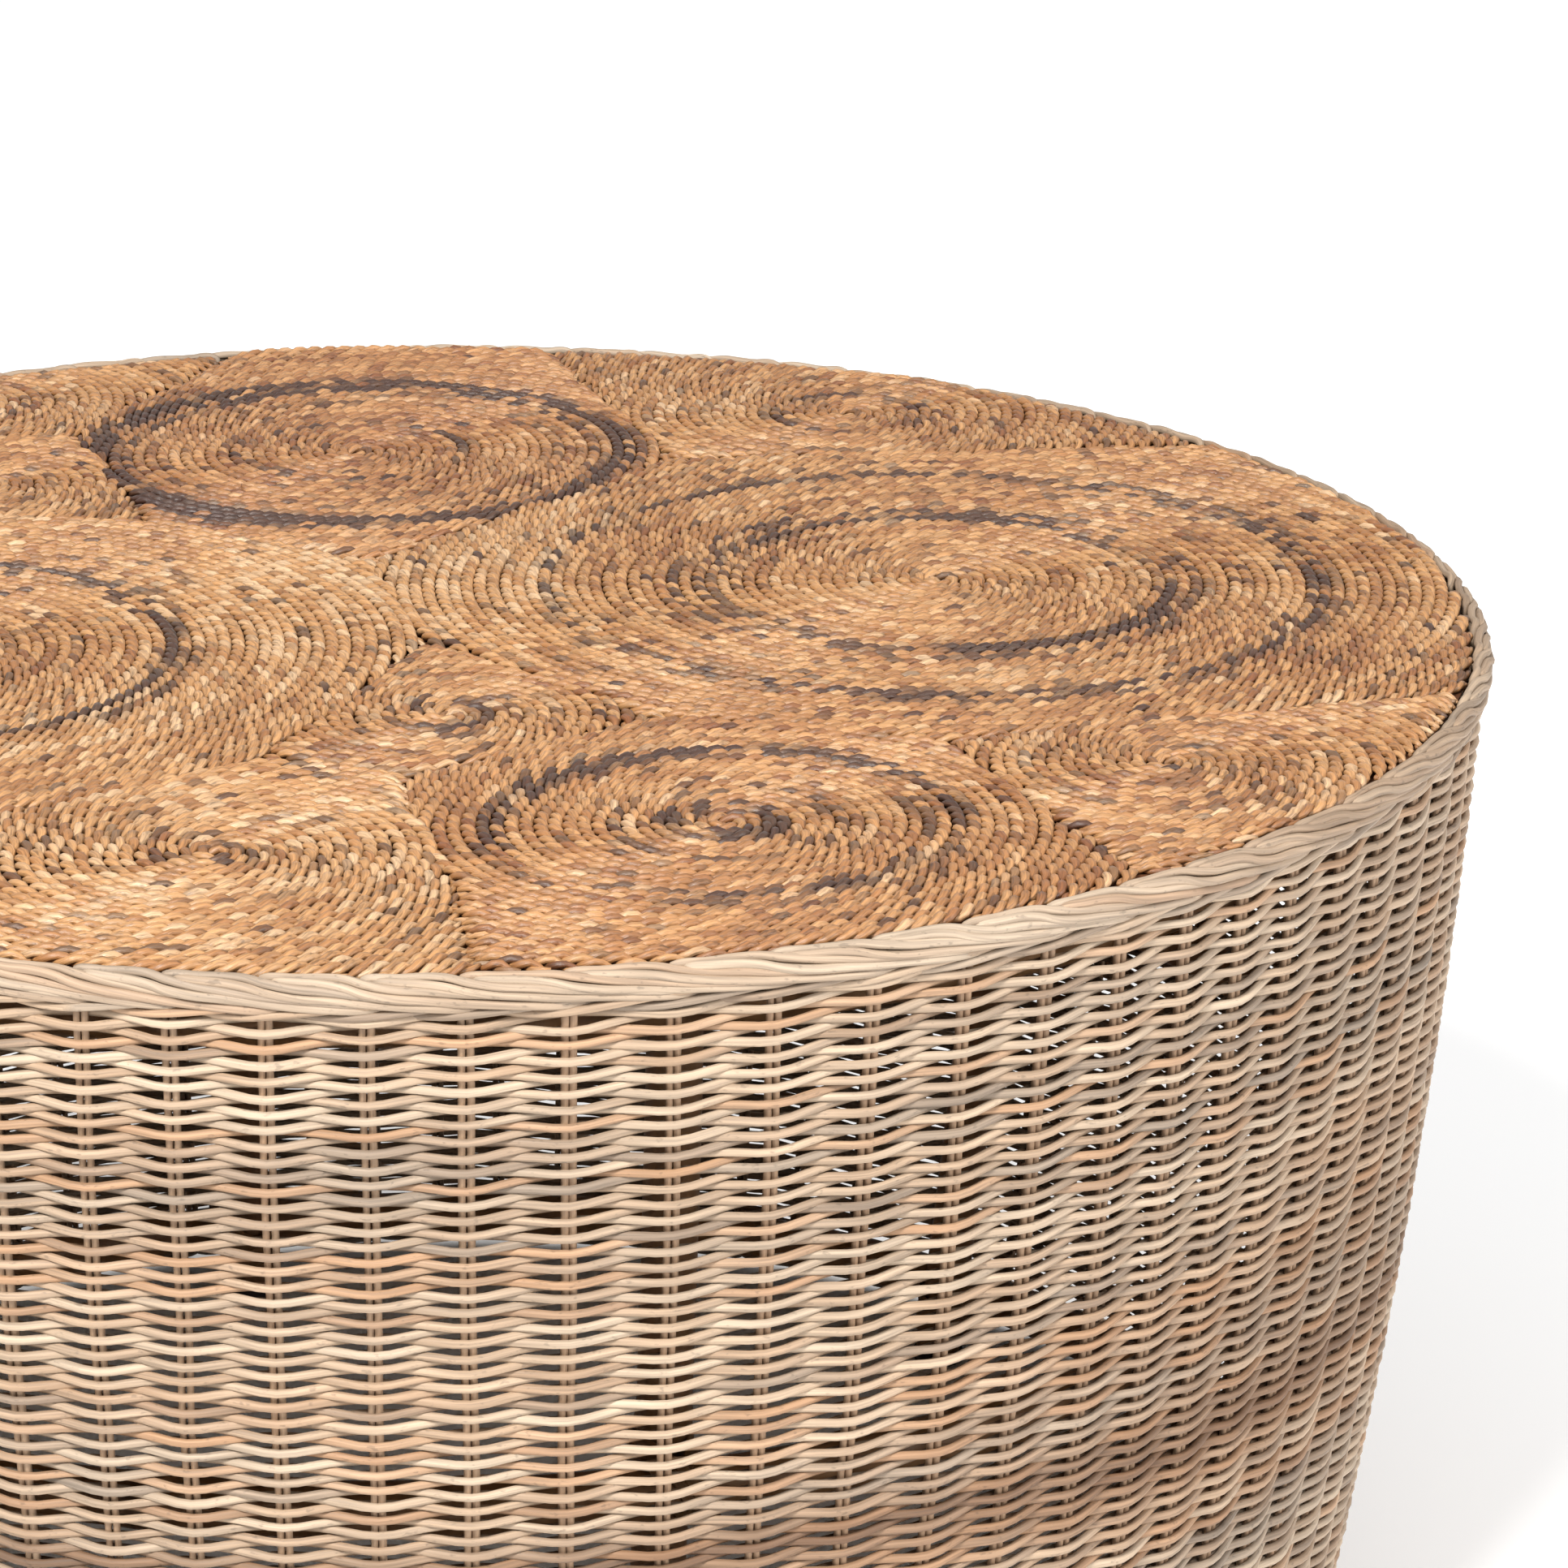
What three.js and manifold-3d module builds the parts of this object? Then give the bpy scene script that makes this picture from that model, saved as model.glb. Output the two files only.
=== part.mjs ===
// Round wicker coffee table: a convex tapered drum of twined rattan on an inner pole frame,
// with a top of coiled rope medallions inside a rolled border.
// Millimetres, +Z up, origin on the floor at the middle of the table. The front faces -Y.

import * as THREE from 'three';
import { mergeVertices } from 'three/addons/utils/BufferGeometryUtils.js';
import Module from 'manifold-3d';

const wasm = await Module();
wasm.setup();

// ---------- driving dimensions ----------
const R = 450;               // nominal half width, the unit of the plan
const H = 450;               // height of the border's crest above the floor
const STAKES = 80;           // pairs of upright stakes round the wall
const STAKE_PHASE = -0.2598; // azimuth of one stake pair, radians from -Y towards +X
const GAP = 0.3;             // clearance between pieces that touch

const WEAVER = 2.5;          // radial thickness of one weaver layer
const STAKE_THICK = 2.8;     // radial thickness of the stakes
const STAKE_WIDE = 6;        // width of a pair of stakes
const WALL = 8.4;            // wall thickness: weaver, stake, weaver and their gaps

const WEAVE_TOP = 425;       // top of the woven rows
const WEAVE_LOW = 24.3;      // bottom of the woven rows
const BREAKS = [158, 292];   // heights where the faceted wall changes slope

const BORDER_LOW = 432.3;    // underside of the rolled top border
const BOARD_LOW = 434.3;     // underside of the top board
const BOARD_THICK = 9;
const BOARD_RADIUS = 434.2;
const ROPE_LOW = 443.6;      // underside of the rope top
const ROPE_THICK = 6.4;
const ROPE_RADIUS = 438.5;   // the outer coils lie on the ledge of the border

const POLE = 11;             // radius of the frame poles
const POSTS = 6;
const POST_AZIMUTH = 13.7 * Math.PI / 180;
const HOOP_SEG = 36;         // a flat's middle lies at every post
const HOOPS = { top: [430, 423], middle: [410.3, 225], bottom: [379.5, 26] }; // outer radius, height of centre
const JOISTS = { front: -180, centre: 0, rear: 180 };
const GLIDE_RADIUS = 12;
const GLIDE_HIGH = 6;

const BAND_WIDE = 8;         // rattan peel bindings
const BAND_THICK = 1.2;

// rope medallions: centre x, y and weight radius, in units of R
const MEDALLIONS = [
  [0.496, 0.068, 0.48], [-0.048, 0.551, 0.30], [0.456, 0.680, 0.23], [-0.499, -0.114, 0.48],
  [0.034, -0.326, 0.15], [-0.160, -0.687, 0.22], [0.258, -0.632, 0.28], [0.646, -0.490, 0.18],
  [-0.410, 0.450, 0.20], [-0.740, 0.370, 0.22], [-0.470, 0.760, 0.18], [-0.545, -0.700, 0.20],
];

// ---------- materials ----------
const material = (color, roughness) => new THREE.MeshStandardMaterial({ color, roughness, metalness: 0 });
const rattan = material(0xd2b998, 0.62);
const rattanShade = material(0xb59a78, 0.68);
const rope = material(0xc08b4e, 0.58);
const plywood = material(0xb8935f, 0.75);
const pole = material(0x8a6238, 0.55);
const peel = material(0xa8814f, 0.5);
const plastic = material(0x2b2826, 0.5);

// ---------- helpers ----------
const group = new THREE.Group();
group.name = 'wicker_coffee_table';

function outward(geometry) {
  const p = geometry.attributes.position;
  const index = geometry.index;
  const n = index ? index.count : p.count;
  const at = (i) => new THREE.Vector3().fromBufferAttribute(p, index ? index.getX(i) : i);
  let volume = 0;
  for (let i = 0; i < n; i += 3) volume += at(i).dot(at(i + 1).cross(at(i + 2)));
  if (volume < 0) {
    if (!index) throw new Error('an indexed geometry is expected here');
    for (let i = 0; i < n; i += 3) {
      const b = index.getX(i + 1);
      index.setX(i + 1, index.getX(i + 2));
      index.setX(i + 2, b);
    }
    geometry.computeVertexNormals();
  }
  return geometry;
}

function add(name, geometry, mat, parent = group) {
  const mesh = new THREE.Mesh(geometry, mat);
  mesh.name = name;
  parent.add(mesh);
  return mesh;
}

// solid of revolution about Z from a closed profile of [radius, height] points;
// the middle of a flat lies at every stake pair when segments equals STAKES
function ring(profile, segments = STAKES, phase = STAKE_PHASE + Math.PI / STAKES) {
  const points = [...profile, profile[0]].map(([r, z]) => new THREE.Vector2(r, z));
  const geometry = new THREE.LatheGeometry(points, segments, phase);
  geometry.rotateX(Math.PI / 2);
  return outward(geometry);
}

// outer surface of the weave at height z
function wallRadius(z) {
  const d = (H - z) / R;
  return R * (0.9915 - 0.05974 * d - 0.06384 * d * d);
}
const FLAT = 1 / Math.cos(Math.PI / STAKES); // radius at a flat's middle to radius at its corners

function shell(outerDepth, thickness, low, high) {
  const levels = [low, ...BREAKS, high];
  const outer = levels.map((z) => [(wallRadius(z) - outerDepth) * FLAT, z]);
  const inner = levels.map((z) => [(wallRadius(z) - outerDepth - thickness) * FLAT, z]).reverse();
  return ring([...outer, ...inner]);
}

function toSolid(geometry) {
  const bare = geometry.clone();
  bare.deleteAttribute('normal');
  bare.deleteAttribute('uv');
  const merged = mergeVertices(bare, 1e-4);
  return new wasm.Manifold(new wasm.Mesh({
    numProp: 3,
    vertProperties: new Float32Array(merged.attributes.position.array),
    triVerts: new Uint32Array(merged.index.array),
  }));
}

function fromSolid(solid) {
  const mesh = solid.getMesh();
  const geometry = new THREE.BufferGeometry();
  geometry.setAttribute('position', new THREE.BufferAttribute(new Float32Array(mesh.vertProperties), 3));
  geometry.setIndex(new THREE.BufferAttribute(new Uint32Array(mesh.triVerts), 1));
  geometry.computeVertexNormals();
  return geometry;
}

function circle(radius, sides, turn = 0) {
  const shape = new THREE.Shape();
  for (let i = 0; i < sides; i++) {
    const a = turn + (i * 2 * Math.PI) / sides;
    const x = radius * Math.cos(a), y = radius * Math.sin(a);
    if (i === 0) shape.moveTo(x, y); else shape.lineTo(x, y);
  }
  shape.closePath();
  return shape;
}

// ---------- woven wall ----------
add('weavers_outer', shell(0, WEAVER, WEAVE_LOW, WEAVE_TOP), rattan);
add('weavers_inner', shell(WALL - WEAVER, WEAVER, WEAVE_LOW - 6.7, BORDER_LOW - GAP), rattanShade);

{
  // the cage of stakes: one flat bar for each pair, joined by the ring where they turn over
  const low = 17.3, high = BORDER_LOW - GAP;
  const centre = (z) => wallRadius(z) - (WEAVER + GAP) - STAKE_THICK / 2;
  const levels = [low, ...BREAKS, high];
  const inside = centre(high) - STAKE_THICK / 2, outside = centre(high) + STAKE_THICK / 2;
  const bars = [];
  for (let i = 0; i < STAKES; i++) {
    const bar = new THREE.BoxGeometry(STAKE_WIDE, STAKE_THICK, high - low, 1, 1, levels.length - 1);
    const p = bar.attributes.position;
    for (let k = 0; k < p.count; k++) {
      const level = Math.round(((p.getZ(k) + (high - low) / 2) / (high - low)) * (levels.length - 1));
      p.setXYZ(k, p.getX(k), p.getY(k) - centre(levels[level]), levels[level]);
    }
    bar.rotateZ(STAKE_PHASE + (i * 2 * Math.PI) / STAKES);
    bars.push(toSolid(bar));
  }
  const turnover = ring([
    [(inside + 0.05) * FLAT, high - 4], [(outside - 0.05) * FLAT, high - 4],
    [(outside - 0.05) * FLAT, high - 0.05], [(inside + 0.05) * FLAT, high - 0.05],
  ]);
  add('stake_cage', fromSolid(wasm.Manifold.union([toSolid(turnover), ...bars])), rattanShade);
}

// ---------- borders and wales ----------
add('top_border', ring([
  [434.6, BORDER_LOW], [446.4, BORDER_LOW], [447.9, 436.0], [447.9, 443.0],
  [445.8, 447.4], [442.8, 448.8], [438.9, 447.2], [438.9, 443.4], [434.6, 443.4],
]), rattan);

add('top_wale', ring([
  [wallRadius(425.3) - WEAVER + 0.1, 425.3], [wallRadius(425.3) + 1.2, 425.3],
  [wallRadius(432) + 1.2, 432], [wallRadius(432) - WEAVER + 0.1, 432],
].map(([r, z]) => [r * FLAT, z])), rattan);

add('bottom_wale', ring([
  [wallRadius(17.3) - WEAVER + 0.1, 17.3], [wallRadius(17.3) + 1.2, 17.3],
  [wallRadius(24) + 1.2, 24], [wallRadius(24) - WEAVER + 0.1, 24],
].map(([r, z]) => [r * FLAT, z])), rattan);

add('bottom_border', ring([
  [384.0, 5.5], [386.4, 3.0], [392.4, 3.0], [394.8, 6.0], [394.8, 13.0], [393.2, 17.0], [384.0, 17.0],
]), rattan);

// ---------- inner pole frame ----------
const hoopCentre = {};
for (const [name, [outer, z]] of Object.entries(HOOPS)) {
  const centre = outer - POLE;
  hoopCentre[name] = [centre, z];
  const profile = [];
  for (let i = 0; i < 8; i++) {
    const a = ((i + 0.5) * Math.PI) / 4;
    profile.push([centre + POLE * Math.cos(a), z + POLE * Math.sin(a)]);
  }
  add('frame_hoop_' + name, ring(profile, HOOP_SEG, POST_AZIMUTH + Math.PI / HOOP_SEG), pole);
}

// centre line of a post: a gentle bend that touches the inner side of the three hoops
const postAt = (name) => (hoopCentre[name][0] - POLE) * Math.cos(Math.PI / HOOP_SEG) - POLE - 0.5;
const postPoints = ['bottom', 'middle', 'top'].map((n) => [HOOPS[n][1], postAt(n)]);
function postRadius(z) {
  let sum = 0;
  for (let i = 0; i < 3; i++) {
    let term = postPoints[i][1];
    for (let j = 0; j < 3; j++) if (j !== i) term *= (z - postPoints[j][0]) / (postPoints[i][0] - postPoints[j][0]);
    sum += term;
  }
  return sum;
}
const postSlope = (z) => (postRadius(z + 1) - postRadius(z - 1)) / 2;

function bindingShape() {
  const half = POLE + 0.9;
  const loop = (extra) => {
    const points = [];
    for (const side of [1, -1]) {
      for (let i = -3; i <= 3; i++) {
        const a = (i * Math.PI) / 6;
        points.push(new THREE.Vector2(
          side * (half + (POLE + 0.9 + extra) * Math.cos(a)),
          side * (POLE * Math.SQRT2 + BAND_WIDE / 2 + 3.6 + extra) * Math.sin(a),
        ));
      }
    }
    return points;
  };
  const shape = new THREE.Shape(loop(BAND_THICK));
  shape.holes.push(new THREE.Path(loop(0).reverse()));
  return shape;
}

for (let i = 0; i < POSTS; i++) {
  const azimuth = POST_AZIMUTH + (i * 2 * Math.PI) / POSTS;
  const low = GLIDE_HIGH + GAP, high = BOARD_LOW - GAP;

  const post = new THREE.ExtrudeGeometry(circle(POLE, 8, Math.PI / 8), {
    depth: high - low, steps: 5, bevelEnabled: false,
  });
  const p = post.attributes.position;
  for (let k = 0; k < p.count; k++) {
    const z = p.getZ(k) + low;
    p.setXYZ(k, p.getX(k), p.getY(k) - postRadius(z), z);
  }
  post.rotateZ(azimuth);
  post.computeVertexNormals();
  add('post_' + (i + 1), post, pole);

  const foot = new THREE.CylinderGeometry(GLIDE_RADIUS, GLIDE_RADIUS - 1, GLIDE_HIGH, 14);
  foot.rotateX(Math.PI / 2);
  foot.translate(0, -postRadius(low), GLIDE_HIGH / 2);
  foot.rotateZ(azimuth);
  add('glide_' + (i + 1), foot, plastic);

  for (const name of ['middle', 'bottom']) {
    const z = HOOPS[name][1];
    const out = new THREE.Vector3(Math.sin(azimuth), -Math.cos(azimuth), 0);
    const along = new THREE.Vector3(Math.cos(azimuth), Math.sin(azimuth), 0);
    const up = out.clone().multiplyScalar(postSlope(z)).add(new THREE.Vector3(0, 0, 1)).normalize();
    const normal = along.clone().cross(up);
    const diagonal = along.clone().add(up).normalize();
    const width = normal.clone().cross(diagonal);
    const middle = (hoopCentre[name][0] * Math.cos(Math.PI / HOOP_SEG) + postRadius(z)) / 2;
    const band = new THREE.ExtrudeGeometry(bindingShape(), { depth: BAND_WIDE, steps: 1, bevelEnabled: false });
    band.translate(0, 0, -BAND_WIDE / 2);
    band.applyMatrix4(new THREE.Matrix4().makeBasis(normal, diagonal, width));
    band.translate(out.x * middle, out.y * middle, z);
    add('binding_' + name + '_' + (i + 1), band, peel);
  }
}

for (const [name, y] of Object.entries(JOISTS)) {
  const reach = (HOOPS.top[0] - 2 * POLE) * Math.cos(Math.PI / HOOP_SEG) - 0.5;
  const half = Math.sqrt(reach * reach - (Math.abs(y) + POLE) ** 2);
  const joist = new THREE.CylinderGeometry(POLE, POLE, 2 * half, 8);
  joist.rotateZ(Math.PI / 2);
  joist.translate(0, y, HOOPS.top[1]);
  add('joist_' + name, joist, pole);
}

// ---------- top board and rope medallions ----------
{
  const turn = STAKE_PHASE + Math.PI / STAKES - Math.PI / 2;
  const board = new THREE.ExtrudeGeometry(circle(BOARD_RADIUS, STAKES, turn), {
    depth: BOARD_THICK, steps: 1, bevelEnabled: false,
  });
  board.translate(0, 0, BOARD_LOW);
  add('top_board', board, plywood);

  // each medallion fills the part of the top that is nearest to it by weighted distance
  const inset = 0.25;
  MEDALLIONS.forEach(([ax, ay, ar], i) => {
    let outline = [];
    for (let k = 0; k < STAKES; k++) {
      const a = turn + (k * 2 * Math.PI) / STAKES;
      outline.push([ROPE_RADIUS * Math.cos(a), ROPE_RADIUS * Math.sin(a)]);
    }
    MEDALLIONS.forEach(([bx, by, br], j) => {
      if (i === j) return;
      const dx = (bx - ax) * R, dy = (by - ay) * R;
      const d = Math.hypot(dx, dy);
      const limit = (d * d + (ar * ar - br * br) * R * R) / (2 * d) - inset;
      const side = ([x, y]) => ((x - ax * R) * dx + (y - ay * R) * dy) / d - limit;
      const next = [];
      for (let k = 0; k < outline.length; k++) {
        const p = outline[k], q = outline[(k + 1) % outline.length];
        const sp = side(p), sq = side(q);
        if (sp <= 0) next.push(p);
        if ((sp < 0 && sq > 0) || (sp > 0 && sq < 0)) {
          const t = sp / (sp - sq);
          next.push([p[0] + (q[0] - p[0]) * t, p[1] + (q[1] - p[1]) * t]);
        }
      }
      outline = next;
    });
    const clean = outline.filter((p, k) => {
      const q = outline[(k + 1) % outline.length];
      return Math.hypot(p[0] - q[0], p[1] - q[1]) > 0.05;
    });
    const cell = new THREE.ExtrudeGeometry(new THREE.Shape(clean.map(([x, y]) => new THREE.Vector2(x, y))), {
      depth: ROPE_THICK, steps: 1, bevelEnabled: false,
    });
    cell.translate(0, 0, ROPE_LOW);
    add('rope_medallion_' + String(i + 1).padStart(2, '0'), cell, rope);
  });
}

export default group;
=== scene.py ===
import math
import bpy
import numpy as np
from mathutils import Matrix, Vector


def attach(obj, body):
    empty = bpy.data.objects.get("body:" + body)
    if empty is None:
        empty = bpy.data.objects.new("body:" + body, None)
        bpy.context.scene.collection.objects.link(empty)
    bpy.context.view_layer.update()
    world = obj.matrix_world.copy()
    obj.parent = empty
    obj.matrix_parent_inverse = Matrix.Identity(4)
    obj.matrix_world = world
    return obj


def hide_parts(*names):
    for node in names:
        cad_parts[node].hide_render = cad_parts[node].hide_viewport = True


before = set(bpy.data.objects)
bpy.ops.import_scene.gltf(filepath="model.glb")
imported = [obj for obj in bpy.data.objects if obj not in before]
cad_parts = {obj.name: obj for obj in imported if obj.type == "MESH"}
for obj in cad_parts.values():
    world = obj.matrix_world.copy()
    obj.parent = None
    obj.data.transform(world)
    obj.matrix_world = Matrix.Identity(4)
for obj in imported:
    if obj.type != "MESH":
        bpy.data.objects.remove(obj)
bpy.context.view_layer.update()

# ------------------------------------------------------------------ numbers
R0 = 0.450
H0 = 0.450
STAKES = 80
A0 = -0.2598
DA = 2 * math.pi / STAKES
TAU = 2 * math.pi


def wall_r(z):
    """Radius of the outer face of the weave at height z."""
    d = (H0 - z) / R0
    return R0 * (0.9915 - 0.05974 * d - 0.06384 * d * d)


# where the stake pairs -1 to 18 really stand, radians of azimuth; the rest are evenly spaced
STAND = np.array([-.3476, -.2685, -.1955, -.1185, -.0380, .0410, .1240, .2080, .2910, .3770, .4610,
                  .5430, .6220, .6970, .7690, .8420, .9200, .9950, 1.0760, 1.1580])
OFF_I = np.concatenate([np.arange(-1, 19), [79]])
OFF_A = np.concatenate([STAND - (A0 + DA * np.arange(-1, 19)), [STAND[0] - (A0 - DA)]])


def azim(s):
    """Azimuth of a place along the wall counted in stakes."""
    w = (np.asarray(s, float) + 1) % STAKES - 1
    return A0 + np.asarray(s, float) * DA + np.interp(w, OFF_I, OFF_A)


def lin(r, g, b):
    c = np.array([r, g, b]) / 255.0
    return np.where(c <= 0.04045, c / 12.92, ((c + 0.055) / 1.055) ** 2.4)


# ------------------------------------------------------------------ seeded noise
def hsh(i, seed):
    i = np.asarray(i).astype(np.int64)
    n = (i * 374761393 + int(seed) * 668265263) & 0xFFFFFFFF
    n = ((n ^ (n >> 13)) * 1274126177) & 0xFFFFFFFF
    n = ((n ^ (n >> 15)) * 1103515245) & 0xFFFFFFFF
    return (n ^ (n >> 16)) / 4294967296.0


def _f(x):
    i = np.floor(x)
    t = x - i
    return i.astype(np.int64), t * t * (3 - 2 * t)


def n1(x, seed):
    i, t = _f(np.asarray(x, float))
    a, b = hsh(i, seed), hsh(i + 1, seed)
    return (a + (b - a) * t) * 2 - 1


def n2(x, y, seed, px=0):
    i, t = _f(np.asarray(x, float))
    j, s = _f(np.asarray(y, float))

    def h(a, b):
        a = a % px if px else a
        return hsh(a * 7919 + b * 104729, seed)

    u0 = h(i, j) + (h(i + 1, j) - h(i, j)) * t
    u1 = h(i, j + 1) + (h(i + 1, j + 1) - h(i, j + 1)) * t
    return (u0 + (u1 - u0) * s) * 2 - 1


def n3(x, y, z, seed):
    k, t = _f(np.asarray(z, float))
    base = np.unique(k)
    out = np.zeros(np.broadcast(x, y, z).shape)
    x, y = np.broadcast_to(x, out.shape), np.broadcast_to(y, out.shape)
    k, t = np.broadcast_to(k, out.shape), np.broadcast_to(t, out.shape)
    for b in range(int(base.min()), int(base.max()) + 2):
        v = n2(x, y, seed + 131 * b)
        w = np.where(k == b, 1 - t, 0) + np.where(k + 1 == b, t, 0)
        out += v * w
    return out


def step(a, b, x):
    t = np.clip((x - a) / (b - a), 0, 1)
    return t * t * (3 - 2 * t)


def mix(a, b, t):
    t = np.asarray(t)[..., None]
    return a * (1 - t) + b * t


def unit(v):
    return v / np.maximum(np.linalg.norm(v, axis=-1, keepdims=True), 1e-12)


def curve(ts, pts, t):
    """Smooth curve through pts at parameters ts."""
    ts, pts = np.asarray(ts, float), np.asarray(pts, float)
    if pts.ndim == 1:
        pts = pts[:, None]
    d = np.zeros_like(pts)
    sl = (pts[1:] - pts[:-1]) / (ts[1:] - ts[:-1])[:, None]
    d[0], d[-1] = sl[0], sl[-1]
    w = (ts[1:] - ts[:-1])
    d[1:-1] = (sl[:-1] * w[1:, None] + sl[1:] * w[:-1, None]) / (w[1:] + w[:-1])[:, None]
    k = np.clip(np.searchsorted(ts, t, side="right") - 1, 0, len(ts) - 2)
    h = w[k]
    x = (t - ts[k]) / h
    x2, x3 = x * x, x * x * x
    h00, h10, h01, h11 = 2 * x3 - 3 * x2 + 1, x3 - 2 * x2 + x, -2 * x3 + 3 * x2, x3 - x2
    return (h00[..., None] * pts[k] + (h10 * h)[..., None] * d[k]
            + h01[..., None] * pts[k + 1] + (h11 * h)[..., None] * d[k + 1])


# ------------------------------------------------------------------ tube meshes
class Lot:
    """Round strands gathered into one mesh."""

    def __init__(self, sides):
        self.m = sides
        self.v, self.q, self.tone, self.strand = [], [], [], []
        self.row, self.side, self.corner = [], [], []
        self.nv = 0
        self.rows = 0

    def add(self, P, ref, ra, rb, tone, u, closed, turn=0.0):
        m = self.m
        P = np.asarray(P, float)
        S, n, _ = P.shape
        T = (np.roll(P, -1, 1) - np.roll(P, 1, 1)) if closed else np.gradient(P, axis=1)
        T = unit(T)
        ref = np.broadcast_to(ref, P.shape)
        A = unit(ref - (ref * T).sum(-1, keepdims=True) * T)
        B = np.cross(T, A)
        ang = TAU * np.arange(m) / m
        ra = np.broadcast_to(ra, (S, n))[..., None, None]
        rb = np.broadcast_to(rb, (S, n))[..., None, None]
        V = (P[:, :, None, :] + A[:, :, None, :] * ra * np.cos(ang)[None, None, :, None]
             + B[:, :, None, :] * rb * np.sin(ang)[None, None, :, None])
        tw = np.broadcast_to(turn, (S, n))[..., None] + ang
        st = np.stack([np.broadcast_to(np.broadcast_to(u, (S, n))[..., None], tw.shape),
                       np.cos(tw), np.sin(tw)], -1)
        tn = np.broadcast_to(np.broadcast_to(tone, (S, n, 3))[:, :, None, :], (S, n, m, 3))
        i0 = np.arange(n if closed else n - 1)
        i1 = (i0 + 1) % n
        j0 = np.arange(m)
        j1 = (j0 + 1) % m
        s = np.arange(S)[:, None, None]
        a = (s * n + i0[None, :, None]) * m
        b = (s * n + i1[None, :, None]) * m
        q = np.stack([a + j0, a + j1, b + j1, b + j0], -1) + self.nv
        per = len(i0) + (0 if closed else 2)
        row = self.rows + s * per + i0[None, :, None]
        self.q.append(q.reshape(-1, 4))
        self.row.append(np.broadcast_to(row, q.shape[:3]).reshape(-1))
        self.side.append(np.broadcast_to(j0, q.shape[:3]).reshape(-1))
        if not closed:
            k = np.arange(m // 2 - 1)
            cap = np.stack([k, k + 1, m - 2 - k, m - 1 - k], -1)
            for end, base in ((0, 0), (1, (n - 1) * m)):
                c = cap if end else cap[:, ::-1]
                qq = (np.arange(S)[:, None, None] * n * m + base + c[None]) + self.nv
                rr = self.rows + np.arange(S)[:, None] * per + len(i0) + end
                self.q.append(qq.reshape(-1, 4))
                self.row.append(np.broadcast_to(rr, (S, len(k))).reshape(-1))
                self.side.append(np.broadcast_to(k, (S, len(k))).reshape(-1))
        self.v.append(V.reshape(-1, 3))
        self.tone.append(tn.reshape(-1, 3))
        self.strand.append(st.reshape(-1, 3))
        self.nv += S * n * m
        self.rows += S * per

    def faces(self):
        return sum(len(q) for q in self.q)

    def build(self, name, slot, mat, nodes, res=1024, ratio=1.3):
        m = self.m
        v = np.concatenate(self.v).astype(np.float32)
        q = np.concatenate(self.q).astype(np.int32)
        row = np.concatenate(self.row)
        side = np.concatenate(self.side)
        G = self.rows
        cols = max(1, int(round(math.sqrt(ratio * G / m))))
        R = int(math.ceil(G / cols))
        cols = int(math.ceil(G / R))
        gap = 1.7 / res
        w = (1 - (cols + 1) * gap) / cols / m
        h = (1 - 2 * gap) / R
        c, r = row // R, row % R
        du = np.array([0, 1, 1, 0])
        dv = np.array([0, 0, 1, 1])
        U = gap + c[:, None] * (m * w + gap) + (side[:, None] + du) * w
        W = gap + (r[:, None] + dv) * h
        me = bpy.data.meshes.new(name)
        me.vertices.add(len(v))
        me.vertices.foreach_set("co", v.ravel())
        me.loops.add(q.size)
        me.loops.foreach_set("vertex_index", q.ravel())
        me.polygons.add(len(q))
        me.polygons.foreach_set("loop_start", np.arange(0, q.size, 4, dtype=np.int32))
        me.update(calc_edges=True)
        me.shade_smooth()
        t = np.ones((len(v), 4), np.float32)
        t[:, :3] = np.clip(np.concatenate(self.tone), 0, 1)
        me.attributes.new("tone", "FLOAT_COLOR", "POINT").data.foreach_set("color", t.ravel())
        me.attributes.new("strand", "FLOAT_VECTOR", "POINT").data.foreach_set(
            "vector", np.concatenate(self.strand).astype(np.float32).ravel())
        uv = me.uv_layers.new(name="OFBake")
        uv.data.foreach_set("uv", np.stack([U, W], -1).astype(np.float32).ravel())
        me.materials.append(mat)
        return place(name, me, nodes)


def place(name, me, nodes):
    ob = bpy.data.objects.new(name, me)
    bpy.context.scene.collection.objects.link(ob)
    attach(ob, "root")
    if nodes:
        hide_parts(*nodes)
    return ob


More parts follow.
